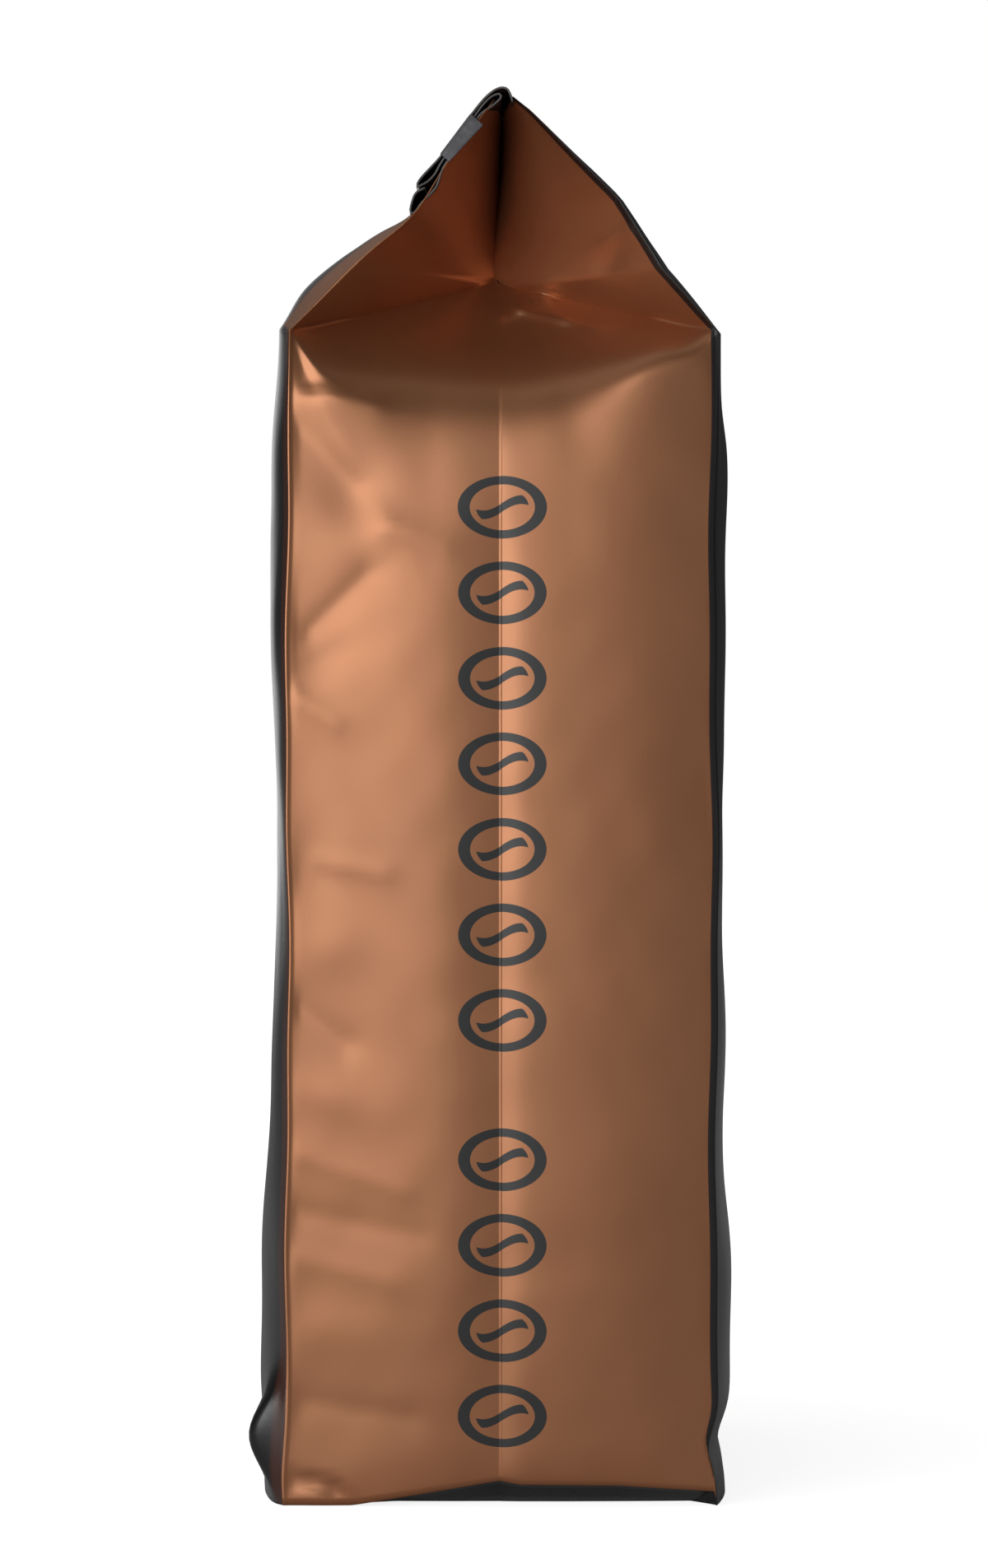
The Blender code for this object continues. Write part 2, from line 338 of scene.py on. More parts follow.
class Nodes:
    """One material's node tree, with short ways to add to it."""

    def __init__(self, name: str) -> None:
        """Starts the material with only its output."""
        self.material = bpy.data.materials.new(name)
        self.material.use_nodes = True
        self.tree = self.material.node_tree
        self.tree.nodes.clear()
        self.output = self.tree.nodes.new("ShaderNodeOutputMaterial")

    def add(self, kind: str, settings: dict | None = None, **inputs: object) -> bpy.types.Node:
        """Adds a node.

        Args:
            kind: the node's type, without its ShaderNode prefix.
            settings: properties of the node.
            **inputs: sockets by name, with _ for a space: a number, a colour or another socket.

        Returns:
            The node.
        """
        node = self.tree.nodes.new("ShaderNode" + kind)
        for key, value in (settings or {}).items():
            setattr(node, key, value)
        for key, value in inputs.items():
            self.feed(node.inputs[key.replace("_", " ")], value)
        return node

    def feed(self, socket: bpy.types.NodeSocket, value: object) -> None:
        """Links the socket to another one, or sets its value."""
        if isinstance(value, bpy.types.NodeSocket):
            self.tree.links.new(value, socket)
        elif isinstance(value, tuple) and len(value) == 3 and socket.type == "RGBA":
            socket.default_value = (*value, 1.0)
        else:
            socket.default_value = value

    def maths(self, operation: str, *values: object) -> bpy.types.NodeSocket:
        """The result of a Math node on up to three numbers or sockets."""
        node = self.add("Math", {"operation": operation})
        for socket, value in zip(node.inputs, values):
            self.feed(socket, value)
        return node.outputs[0]

    def blend(self, share: object, first: object, second: object) -> bpy.types.NodeSocket:
        """The first colour turning into the second as share goes from 0 to 1."""
        node = self.add("Mix", {"data_type": "RGBA"})
        for socket, value in zip((node.inputs[0], node.inputs[6], node.inputs[7]), (share, first, second)):
            self.feed(socket, value)
        return node.outputs[2]

    def span(
        self, value: object, low: float, high: float, to_low: float, to_high: float
    ) -> bpy.types.NodeSocket:
        """The value mapped smoothly from low..high to to_low..to_high, and held at its ends."""
        node = self.add("MapRange", {"interpolation_type": "SMOOTHSTEP"})
        for socket, number in zip(node.inputs, (value, low, high, to_low, to_high)):
            self.feed(socket, number)
        return node.outputs[0]

    def stored(self, name: str) -> bpy.types.NodeSocket:
        """A number that the mesh stores by that name."""
        return self.add("Attribute", {"attribute_name": name}).outputs["Fac"]

    def object_place(self, scale: tuple[float, float, float] = (1.0, 1.0, 1.0)) -> bpy.types.NodeSocket:
        """The surface's place on the object in metres, times the scale along each axis."""
        place = self.add("TexCoord").outputs["Object"]
        node = self.add("Mapping", Vector=place)
        node.inputs["Scale"].default_value = scale
        return node.outputs[0]

    def noise(self, place: object, scale: float, detail: float = 2.0) -> bpy.types.NodeSocket:
        """Smooth noise from 0 to 1 at that place, with that many cells a metre."""
        node = self.add("TexNoise", Vector=place, Scale=scale, Detail=detail)
        return node.outputs[0]

    def close(self, shader: bpy.types.Node) -> bpy.types.Material:
        """Joins the shader to the output and gives back the material."""
        self.tree.links.new(shader.outputs[0], self.output.inputs["Surface"])
        return self.material


@dataclass(frozen=True)
class PrintedFilm:
    """The bag's laminated film: a satin metallic copper field on satin black, a dark print, and a maroon
    margin of painted shade on the front panel beside the copper field.
    """

    name: str = "printed_film"
    copper: Colour = (0.50, 0.206, 0.092)
    pale_copper: Colour = (0.58, 0.29, 0.15)
    most_pale: float = 0.10
    # Dark copper of the maroon margin: painted shade standing in for copper wrapped past the front fold
    margin: Colour = (0.070, 0.022, 0.013)
    black: Colour = (0.010, 0.010, 0.011)
    ink: Colour = (0.020, 0.021, 0.022)
    metallic: float = 0.76
    copper_roughness: float = 0.42
    black_roughness: float = 0.28
    uneven_roughness: float = 0.12
    ink_roughness: float = 0.10
    clouds_a_metre: float = 34.0
    grains_a_metre: float = 2600.0
    grain_strength: float = 0.05
    grain_depth: float = 0.0002
    coat: float = 0.5
    coat_roughness: float = 0.36
    shaded_margin_width: float = 2.6
    print_low: float = 9.0
    pitch: float = 15.9
    bean: Place = (8.2, 6.0)
    line: float = 1.9
    wave: float = 1.4
    wave_ends: Place = (0.68, 0.70)
    bean_count: int = 11
    gap_after: int = 4
    gap: float = 10.0

    def material(self) -> bpy.types.Material:
        """Builds the finish from the film's stored copper margin and its print map.

        Returns:
            The material.
        """
        nodes = Nodes(self.name)
        copper = nodes.span(nodes.stored("copper"), -0.08, 0.08, 0.0, 1.0)
        printed = nodes.maths("MULTIPLY", self.beans(nodes), copper)
        place = nodes.object_place()
        cloud = nodes.noise(place, self.clouds_a_metre, 3.0)
        grain = nodes.noise(place, self.grains_a_metre)
        paleness = nodes.span(cloud, 0.3, 0.7, 0.0, self.most_pale)
        copper_tone = nodes.blend(paleness, self.copper, self.pale_copper)
        # The maroon margin: a dark copper band beside the copper field on the front panel, painted shade of
        # the copper wrapped past the fold
        wrapped = nodes.stored("wrapped")
        reach = nodes.maths("MULTIPLY_ADD", wrapped, self.shaded_margin_width, nodes.stored("copper"))
        colour = nodes.blend(nodes.span(reach, -0.6, 0.6, 0.0, 1.0), self.black, self.margin)
        colour = nodes.blend(copper, colour, copper_tone)
        colour = nodes.blend(printed, colour, self.ink)
        metal = nodes.maths("MULTIPLY", copper, nodes.maths("SUBTRACT", 1.0, printed))
        rise = self.copper_roughness - self.black_roughness
        roughness = nodes.maths("MULTIPLY_ADD", copper, rise, self.black_roughness)
        uneven = nodes.maths("SUBTRACT", cloud, 0.5)
        roughness = nodes.maths("MULTIPLY_ADD", uneven, self.uneven_roughness, roughness)
        roughness = nodes.maths("MULTIPLY_ADD", printed, self.ink_roughness, roughness)
        bump = nodes.add("Bump", Height=grain, Strength=self.grain_strength, Distance=self.grain_depth)
        shader = nodes.add(
            "BsdfPrincipled",
            Base_Color=colour,
            Metallic=nodes.maths("MULTIPLY", metal, self.metallic),
            Roughness=roughness,
            Coat_Weight=self.coat,
            Coat_Roughness=self.coat_roughness,
            Normal=bump.outputs[0],
        )
        return nodes.close(shader)

    def beans(self, nodes: Nodes) -> bpy.types.NodeSocket:
        """The print: a column of outlined coffee beans up each gusset's middle.

        The map's u is millimetres from the gusset's middle and its v is millimetres up. Within
        each pitch, a bean is the band about an ellipse, and the wavy line up through it.

        Args:
            nodes: the tree to add to.

        Returns:
            1 on the print and 0 off it.
        """
        half = self.line / 2
        wide, tall = self.bean[0] - half, self.bean[1] - half
        split = nodes.add("SeparateXYZ", Vector=nodes.add("UVMap", {"uv_map": "print"}).outputs[0])
        u, v = split.outputs[0], split.outputs[1]
        gap_middle = self.print_low + self.gap_after * self.pitch + self.gap / 2
        jump = nodes.maths("MULTIPLY", nodes.maths("GREATER_THAN", v, gap_middle), -self.gap)
        climbed = nodes.maths("SUBTRACT", nodes.maths("ADD", v, jump), self.print_low)
        cell = nodes.maths("DIVIDE", climbed, self.pitch)
        up = nodes.maths("MULTIPLY", nodes.maths("SUBTRACT", nodes.maths("FRACT", cell), 0.5), self.pitch)
        share_u = nodes.maths("POWER", nodes.maths("DIVIDE", u, wide), 2.0)
        share_v = nodes.maths("POWER", nodes.maths("DIVIDE", up, tall), 2.0)
        reach = nodes.maths("SQRT", nodes.maths("ADD", share_u, share_v))
        off_oval = nodes.maths("ABSOLUTE", nodes.maths("SUBTRACT", reach, 1.0))
        from_edge = nodes.maths("MULTIPLY", off_oval, (wide + tall) / 2)
        outline = nodes.span(from_edge, half - 0.06, half + 0.06, 1.0, 0.0)
        turn = nodes.maths("MULTIPLY", u, math.pi / wide)
        wave = nodes.maths("MULTIPLY", nodes.maths("SINE", turn), self.wave)
        off_line = nodes.maths("ABSOLUTE", nodes.maths("SUBTRACT", up, wave))
        inside = nodes.span(reach, *self.wave_ends, 1.0, 0.0)
        parting = nodes.maths("MULTIPLY", nodes.span(off_line, half - 0.20, half - 0.08, 1.0, 0.0), inside)
        drawn = nodes.maths("MAXIMUM", outline, parting)
        in_gap = nodes.maths("COMPARE", v, gap_middle, self.gap / 2)
        past_ends = nodes.maths("COMPARE", cell, self.bean_count / 2, self.bean_count / 2)
        shown = nodes.maths("MULTIPLY", past_ends, nodes.maths("SUBTRACT", 1.0, in_gap))
        return nodes.maths("MULTIPLY", drawn, shown)


@dataclass(frozen=True)
class RollFilm:
    """The back of the same film where it is rolled: satin black, paler along its folded edges, which is
    crease whitening and a painted highlight.
    """

    name: str = "rolled_film"
    black: Colour = (0.013, 0.012, 0.012)
    # Paler grey of the folded edges: crease whitening and a painted highlight where the folds catch the light
    edge: Colour = (0.16, 0.155, 0.15)

    def material(self) -> bpy.types.Material:
        """Builds the finish from the stored distance to the folded edge."""
        nodes = Nodes(self.name)
        place = nodes.object_place()
        cloud = nodes.noise(place, 60.0, 3.0)
        # Paler along the folded edges, partly crease whitening and partly a painted highlight, broken up by
        # the cloud
        edge = nodes.span(nodes.stored("from_edge"), 0.0, 0.35, 1.0, 0.0)
        whitened_and_highlit = nodes.maths("MULTIPLY", edge, nodes.span(cloud, 0.25, 0.6, 0.3, 1.0))
        colour = nodes.blend(whitened_and_highlit, self.black, self.edge)
        bump = nodes.add("Bump", Height=nodes.noise(place, 900.0, 2.0), Strength=0.05, Distance=0.0002)
        shader = nodes.add(
            "BsdfPrincipled",
            Base_Color=colour,
            Roughness=nodes.span(cloud, 0.2, 0.8, 0.22, 0.36),
            Normal=bump.outputs[0],
        )
        return nodes.close(shader)


@dataclass(frozen=True)
class FrostedStrip:
    """The strip's frosted grey plastic, with faint streaks along its length."""

    name: str = "frosted_strip"
    grey: Colour = (0.115, 0.112, 0.122)
    pale: Colour = (0.165, 0.162, 0.175)

    def material(self) -> bpy.types.Material:
        """Builds the finish from noise drawn out along the strip."""
        nodes = Nodes(self.name)
        streak = nodes.noise(nodes.object_place((12.0, 900.0, 900.0)), 1.0, 3.0)
        speck = nodes.noise(nodes.object_place(), 1500.0, 2.0)
        colour = nodes.blend(nodes.span(streak, 0.35, 0.75, 0.0, 1.0), self.grey, self.pale)
        bump = nodes.add("Bump", Height=nodes.maths("ADD", streak, speck), Strength=0.08, Distance=0.0003)
        shader = nodes.add(
            "BsdfPrincipled",
            Base_Color=colour,
            Roughness=nodes.span(speck, 0.3, 0.7, 0.42, 0.55),
            Normal=bump.outputs[0],
        )
        return nodes.close(shader)


# ---------------------------------------------------------------- the film


@dataclass
class Film:
    """The bag's film from its base to its ridge, as one closed shell."""

    half_width: float
    half_depth: float
    shoulder: float
    ridge: float
    ridge_half: float = 1.5
    finish: PrintedFilm = field(default_factory=PrintedFilm)

    # The mesh: columns across each panel, rows up the body and the roof, and the last roof row
    # that still crosses the leaning triangle
    panel_columns: int = 110
    gusset_columns: int = 96
    body_rows: int = 150
    roof_rows: int = 60
    tip_row: int = 17

    # The gussets' body: the front pillow and its fall to the middle crease, then the climb from
    # the crease to the shallow arch behind it
    pillow_height: float = 3.6
    pillow_rise: float = 1.35
    fall: float = 0.155
    fall_lost: float = 0.075
    trough: float = 1.85
    climb: float = 0.36
    back_arch: float = 2.75
    back_arch_middle: float = 9.0

    # The gussets' roof: the leaning triangle's tip (depth, y and z), the valley's depth at the
    # ridge, the steep plunge into it, and how far the shoulder fold sags at each y
    tip: Spot = (34.0, -1.5, 231.0)
    valley_top: float = 38.8
    plunge: float = 0.42
    edge_depth_power: float = 0.7
    hinge_lift: float = 2.5
    shoulder_turn: float = 8.0
    sag_places: tuple[float, ...] = (-40.5, -36.0, -34.0, -15.0, 0.0, 10.0, 20.0, 29.0, 37.0, 40.5)
    sags: tuple[float, ...] = (0.0, 8.0, 10.3, 11.0, 11.6, 9.8, 6.8, 4.8, 4.2, 0.0)

    # The broad panels: how full they are at each height, and at each share of the roof's slope
    body_places: tuple[float, ...] = (
        (5.0, 23.0, 41.0, 60.0, 87.0, 105.0, 128.0, 142.0, 161.0, 184.0, 198.0, 207.0, 219.0)
    )
    front_body: tuple[float, ...] = (4.8, 6.2, 5.85, 5.4, 4.2, 3.7, 2.9, 3.4, 3.8, 4.7, 4.5, 3.7, 2.4)
    back_body: tuple[float, ...] = (2.6, 3.7, 4.0, 3.1, 2.8, 1.9, 1.8, 2.5, 2.8, 3.3, 2.8, 1.5, 0.9)
    roof_places: tuple[float, ...] = (0.0, 0.15, 0.28, 0.45, 0.54, 0.62, 0.74, 0.91, 1.0)
    front_roof: tuple[float, ...] = (4.2, 6.4, 5.6, 3.2, 1.3, 0.6, 0.7, 1.3, 0.6)
    back_roof: tuple[float, ...] = (2.0, 2.4, 2.6, 2.2, 1.6, 1.6, 1.2, 0.8, 0.3)

    # The bulge low in the front panel at its +X end: x, height and lift, then its reach
    ear: Spot = (61.0, 13.0, 5.5)
    ear_reach: Place = (7.0, 8.0)

    # The lower edge of the gussets over the ground, and the kink in the back roof's fold line
    arch_places: tuple[float, ...] = (-28.0, -0.5, 3.5, 22.0, 40.0)
    arch: tuple[float, ...] = (0.0, 4.7, 4.0, 3.8, 2.6)
    kink_places: tuple[float, ...] = (0.0, 0.27, 0.52, 0.55, 0.93, 1.0)
    kink: tuple[float, ...] = (0.0, 0.1, 2.8, 2.8, 1.5, 0.8)

    # How far the copper field runs past the front fold and stops short of the back one, on the
    # body and then on the roof, and how much wider its maroon margin, a band of painted shade, is there
    copper_wrap: float = 0.3
    black_margin: float = 1.3
    roof_wrap: float = 9.0
    roof_margin: float = 2.2
    roof_shaded_margin_share: float = 1.5

    # Creases and dents of the +X gusset, with u along Y and v up: first the body's, shoulder first
    shown_relief: tuple[Relief, ...] = (
        Crease((-39.3, 217.5), (-35.2, 207.8), -0.7, 1.8, 2.2),
        Crease((-35.4, 207.4), (-24.0, 205.8), 0.7, 0.9, 3.6, 0.25),
        Crease((-34.5, 206.0), (-21.5, 182.5), 0.42, 5.0, 3.6),
        Crease((-21.5, 182.5), (-10.5, 178.5), 0.3, 3.5, 3.0),
        Crease((-40.0, 203.0), (-27.0, 190.0), -0.4, 3.0, 4.0),
        Crease((-36.0, 163.0), (-25.0, 173.5), -0.5, 2.4, 3.0),
        Crease((-39.0, 151.0), (-31.0, 146.0), 0.35, 2.0, 3.0),
        Crease((-34.0, 120.0), (-22.0, 118.0), 0.30, 2.6, 2.0),
        Crease((-38.0, 93.0), (-29.0, 86.0), -0.35, 3.0, 2.4),
        Crease((-40.0, 66.0), (-18.0, 58.5), 0.20, 3.6, 2.4),
        Crease((-38.0, 55.0), (-15.0, 50.5), -0.22, 3.0, 2.8),
        Crease((-38.0, 46.0), (-21.0, 42.0), 0.18, 3.0, 2.8),
        Crease((24.0, 211.0), (37.0, 213.8), 0.5, 1.2, 5.0, 0.3),
        Crease((-36.0, 19.5), (-17.0, 16.5), -0.22, 2.6, 3.0),
        # Soft hollows of the pillow
        Dent((-28.0, 189.0), (8.0, 6.0), 0.6, -40.0),
        Dent((-33.0, 157.5), (7.0, 3.5), 0.35, 30.0),
        Dent((-35.0, 121.0), (4.0, 8.0), 0.35, 10.0),
        Dent((-31.0, 105.0), (6.0, 5.0), -0.25, 20.0),
        Dent((-32.0, 76.0), (7.0, 4.0), -0.20, -20.0),
        Dent((-29.0, 33.0), (9.0, 5.0), -0.20, 5.0),
        # The tuck at the front foot
        Crease((-41.0, 5.8), (-31.4, 3.6), -0.55, 0.5, 1.8, 0.2),
        Crease((-31.4, 3.6), (-27.6, 0.2), -0.45, 0.5, 1.6, 0.2),
        Dent((-35.0, 2.0), (4.0, 1.5), -0.5, -8.0),
        Ripples(11, 0.08, 9.0, 30.0),
    )
    # Small pointed folds of the leaning triangle and the back wing
    roof_relief: tuple[Relief, ...] = (
        Crease((0.9, 223.3), (8.5, 228.3), 1.3, 2.2, 0.9, 0.2),
        Crease((3.2, 224.8), (11.7, 222.5), 1.4, 1.4, 1.0, 0.2),
        Crease((11.7, 222.5), (17.6, 220.4), 1.1, 1.2, 1.2, 0.2),
        Crease((8.5, 228.3), (11.7, 222.3), 0.8, 0.8, 1.6, 0.2),
        Dent((20.5, 233.0), (4.5, 2.5), 0.6, 60.0),
        Crease((19.5, 236.5), (25.0, 238.5), 0.6, 0.8, 1.6, 0.2),
    )

    @property
    def slope(self) -> float:
        """Length of a roof slope from shoulder to ridge."""
        return math.hypot(self.half_depth, self.ridge - self.shoulder)

    # ---- fold lines

    def roof_offset(self, share: Grid, side: Panel) -> Grid:
        """How far the roof's fold line stands out of the straight slope.

        Args:
            share: share of the way from shoulder to ridge.
            side: whose fold line, the front's or the back's.

        Returns:
            On the front, a slow sag and a deeper one under the flap's end. On the back, a kink.
        """
        if side is Panel.FRONT:
            return -1.5 * np.sin(math.pi * share) - 1.6 * hump(share, 0.55, 0.145)
        return np.interp(share, self.kink_places, self.kink)

    def fold_line(self, height: Grid, side: Panel) -> tuple[Grid, Grid]:
        """The place of a fold line at each height up the film.

        Args:
            height: distance up the film from the base, along the body and then the slope.
            side: whose fold line, the front's or the back's.

        Returns:
            y and z.
        """
        share = np.clip((height - self.shoulder) / self.slope, 0.0, 1.0)
        rise = self.ridge - self.shoulder
        offset = self.roof_offset(share, side)
        wander = 0.30 * np.sin(height / 17.0 + side) + 0.16 * np.sin(height / 6.1)
        out = self.half_depth + (self.ridge_half - self.half_depth) * share
        out = out + offset * rise / self.slope + wander * (1.0 - share) * smooth_step(height, 2.0, 14.0)
        if side is Panel.BACK:
            out = out - 2.0 * hump(height, 11.0, 5.0)
        else:
            out = out + 0.9 * hump(height, 4.0, 8.0)
        z = np.minimum(height, self.shoulder) + rise * share + offset * self.half_depth / self.slope
        return side * out, z

    # ---- the gussets

    def body_swell(self, y: Grid, z: Grid) -> Grid:
        """How far a gusset stands out between its folds, below the shoulder.

        Args:
            y: place across the gusset, negative towards the front.
            z: height.

        Returns:
            The lower of a face that climbs from the front fold and one that falls to the middle
            crease, then the lower of one that climbs from the crease and a shallow arch.
        """
        depth = self.half_depth
        steep = self.fall - self.fall_lost * smooth_step(z, 170.0, 192.0)
        trough = self.trough + 10.0 * (self.fall - steep)
        front = self.pillow_height * (np.maximum(y + depth, 0.0) / 30.0) ** self.pillow_rise
        falling = trough - steep * y
        climbing = trough + self.climb * y
        back_share = (y - self.back_arch_middle) / (depth - self.back_arch_middle)
        back = self.back_arch * (1.0 - back_share**2)
        swell = np.where(y < 0.0, soft_min(front, falling, 3.0), soft_min(climbing, back, 0.7))
        fullness = np.clip(z / 40.0, 0.0, 1.0) ** 0.5
        return swell * (0.35 + 0.65 * fullness)

    def gusset_out(
        self, y: Grid, z: Grid, row_front: Grid, row_back: Grid, relief: tuple[Relief, ...]
    ) -> Grid:
        """How far a gusset's film is from the bag's middle, at each place seen square on.

        Below the shoulder it is the body. Over that, the film turns softly at the sagging shoulder
        fold into the leaning triangle. The wings fall from the fold lines to the triangle's edges,
        and over the triangle's tip to the valley.

        Args:
            y: place across.
            z: height.
            row_front: y of the front fold line at each row.
            row_back: y of the back fold line at each row.
            relief: creases and dents.

        Returns:
            The distance from the middle plane.
        """
        tip_depth, _, tip_z = self.tip
        front_foot, back_foot = self.wing_feet(z)
        above = smooth_step(z, tip_z, self.ridge)
        valley = tip_depth + (self.valley_top - tip_depth) * above
        front_depth = np.where(z < tip_z, self.half_width - self.floor_out(front_foot, z), valley)
        back_depth = np.where(z < tip_z, self.half_width - self.floor_out(back_foot, z), valley)
        plunge = self.plunge * smooth_step(z, tip_z - 2.0, tip_z + 27.0)
        front_share = np.clip((y - row_front) / np.maximum(front_foot - row_front, 0.05), 0.0, 1.0)
        back_share = np.clip((row_back - y) / np.maximum(row_back - back_foot, 0.05), 0.0, 1.0)
        front_wing = self.half_width - front_depth * self.wing_fall(front_share, plunge)
        back_wing = self.half_width - back_depth * self.wing_fall(back_share, plunge)
        out = self.floor_out(y, z)
        out = np.where((y < front_foot) & (z > self.shoulder), front_wing, out)
        out = np.where((y > back_foot) & (z > self.shoulder), back_wing, out)
        out = np.where(z >= tip_z, np.maximum(front_wing, back_wing), out)
        fade = smooth_step(1.0 - np.abs(2.0 * (y - row_front) / (row_back - row_front) - 1.0), 0.0, 0.06)
        out = out + lifted(relief, y, z) * fade
        at_fold = 1.0 - smooth_step(np.minimum(y - row_front, row_back - y), 0.0, 0.8)
        return out + (self.half_width - out) * at_fold

    def wing_feet(self, z: Grid) -> tuple[Grid, Grid]:
        """y of the front and the back wing's lower edge at each height.

        From the shoulder's ends to the roof valley's tip, each runs straight, and over the tip
        both lie in the valley.
        """
        share = np.clip((z - self.shoulder) / (self.tip[2] - self.shoulder), 1e-3, 1.0)
        valley_y = np.where(z < self.tip[2], self.tip[1], self.middle(z))
        front = -self.half_depth + (valley_y + self.half_depth) * share
        back = self.half_depth + (valley_y - self.half_depth) * share
        return front, back

    def floor_out(self, y: Grid, z: Grid) -> Grid:
        """How far the body and the leaning triangle over it are from the bag's middle.

        Args:
            y: place across.
            z: height.

        Returns:
            The lower of the two, with a wide soft turn at the shoulder fold.
        """
        tip_depth, _, tip_z = self.tip
        body = self.half_width + self.body_swell(y, np.minimum(z, self.shoulder))
        inwards = np.clip(1.0 - np.abs(y) / self.half_depth, 0.0, 1.0)
        fold_z = self.shoulder - curve_through(self.sag_places, self.sags, y)
        edge_z = self.shoulder + (tip_z - self.shoulder) * inwards
        edge_depth = tip_depth * inwards**self.edge_depth_power
        lean = (edge_depth + self.hinge_lift) / (edge_z - fold_z + 1.5)
        triangle = self.half_width + self.hinge_lift - (z - fold_z) * lean
        return soft_min(body, triangle, 0.5 + self.shoulder_turn * smooth_step(inwards, 0.1, 0.7))

    def middle(self, z: Grid) -> Grid:
        """y of the gusset's middle crease, which strays to the front where the roof folds in."""
        strayed = smooth_step(z, self.shoulder, self.tip[2]) * (1.0 - smooth_step(z, self.tip[2], self.ridge))
        return self.tip[1] * strayed

    def bend_share(self, z: Grid, foot: Grid) -> Grid:
        """Share of the way from a fold line to the middle at which the columns' halfway one runs.

        Args:
            z: height of the halfway column in each row.
            foot: the share at which the wing's lower edge lies.

        Returns:
            The foot's share from the shoulder to the roof valley's tip, and halfway well below
            and above.
        """
        foot = np.clip(foot, 0.03, 0.97)
        started = smooth_step(z, self.shoulder - 20.0, self.shoulder)
        ended = smooth_step(z, self.tip[2], self.tip[2] + 14.0)
        return 0.5 + (foot - 0.5) * started * (1.0 - ended)

    def bent(self, share: Grid, bend: Grid) -> Grid:
        """Shares from 0 to 1, moved so that a half falls on the bend."""
        return np.where(share < 0.5, 2.0 * share * bend, bend + (2.0 * share - 1.0) * (1.0 - bend))

    def wing_fall(self, share: Grid, plunge: Grid) -> Grid:
        """How deep a wing lies, as a share of the valley's depth.

        Args:
            share: share of the way from the fold line to the valley.
            plunge: what part of the depth is lost in a last steep plunge.

        Returns:
            A straight fall, with the plunge's part after the share's tenth power.
        """
        return share * (1.0 - plunge) + plunge * np.minimum(share, 1.0) ** 10

    def gusset(self, side: Gusset, heights: Grid) -> Grid:
        """A gusset's points, in rows going up.

        Args:
            side: which gusset.
            heights: distance up the film of each row.

        Returns:
            Points, rows by columns by three, the columns against the clock seen from above.
        """
        across = crowded_thirds(self.gusset_columns, 0.6)[:-1] * side
        front_y, front_z = self.fold_line(heights, Panel.FRONT)
        back_y, back_z = self.fold_line(heights, Panel.BACK)
        share = (across[None, :] * side + 1.0) / 2.0
        z = front_z[:, None] * (1.0 - share) + back_z[:, None] * share
        middle = self.middle(z[:, self.gusset_columns // 2])[:, None]
        quarter = self.gusset_columns // 4
        low, high = (quarter, -quarter) if side is Gusset.RIGHT else (-quarter, quarter)
        front_foot = self.wing_feet(z[:, low])[0][:, None]
        back_foot = self.wing_feet(z[:, high])[1][:, None]
        front_share = (front_foot - front_y[:, None]) / (middle - front_y[:, None])
        back_share = (back_y[:, None] - back_foot) / (back_y[:, None] - middle)
        front_bend = self.bend_share(z[:, [low]], front_share)
        back_bend = self.bend_share(z[:, [high]], back_share)
        nearer = self.bent(np.minimum(2.0 * share, 1.0), front_bend)
        farther = 1.0 - self.bent(np.minimum(2.0 - 2.0 * share, 1.0), back_bend)
        y = front_y[:, None] + (middle - front_y[:, None]) * nearer + (back_y[:, None] - middle) * farther
        creased = self.shown_relief + self.roof_relief
        relief = creased if side is Gusset.RIGHT else (Ripples(29, 0.22, 12.0, 40.0),)
        x = self.gusset_out(y, z, front_y[:, None], back_y[:, None], relief)
        arch = self.base_arch(y, side)
        z = z + arch * np.clip(1.0 - z / 30.0, 0.0, 1.0) ** 2
        return np.stack([side * x, y, z], axis=-1)

    def base_arch(self, y: Grid, side: Gusset) -> Grid:
        """Height of a gusset's lower edge above the ground."""
        return np.interp(y * side, self.arch_places, self.arch)

    # ---- the broad panels

    def panel(self, side: Panel, heights: Grid, relief: tuple[Relief, ...]) -> Grid:
        """A broad panel's points, in rows going up.

        Args:
            side: which panel.
            heights: distance up the film of each row.
            relief: creases and dents, with u along X.

        Returns:
            Points, rows by columns by three, the columns against the clock seen from above. Each
            stands out of the line between the two fold lines by a dome with steep edges.
        """
        across = crowded_ends(self.panel_columns, 0.5)[:-1] * -side
        fold_y, fold_z = self.fold_line(heights, side)
        share = np.clip((heights - self.shoulder) / self.slope, 0.0, 1.0)
        in_front = side is Panel.FRONT
        fullness = curve_through(self.body_places, self.front_body if in_front else self.back_body, heights)
        joined = smooth_step(heights, self.shoulder - 22.0, self.shoulder + 12.0)
        roof = curve_through(self.roof_places, self.front_roof if in_front else self.back_roof, share)
        amplitude = fullness * (1.0 - joined) + roof * joined
        sharpness = 6.0 - 1.2 * joined + 6.0 * smooth_step(share, 0.35, 0.6)
        dome = 1.0 - np.abs(across[None, :]) ** sharpness[:, None]
        x = across[None, :] * self.half_width
        lift = amplitude[:, None] * dome
        fade = smooth_step(1.0 - np.abs(across[None, :]), 0.0, 0.12)
        lift = lift + lifted(relief, x, heights[:, None]) * fade
        if in_front:
            ear_x, ear_z, ear_lift = self.ear
            near = hump(x, ear_x, self.ear_reach[0]) * hump(heights[:, None], ear_z, self.ear_reach[1])
            ear = ear_lift * near
            lift = lift + ear * smooth_step(self.half_width - x, 0.0, 2.5)
        turn = joined * math.atan2(self.half_depth, self.ridge - self.shoulder)
        y = fold_y[:, None] + side * lift * np.cos(turn)[:, None]
        z = fold_z[:, None] + lift * np.sin(turn)[:, None]
        return np.stack([x + 0.0 * y, y, z], axis=-1)

    # ---- the whole shell

    def row_heights(self) -> Grid:
        """Distance up the film of each row, closer together on the roof."""
        body = np.linspace(0.15, self.shoulder, self.body_rows)
        roof = np.linspace(self.shoulder, self.shoulder + self.slope, self.roof_rows + 1)[1:]
        return np.concatenate([body, roof])

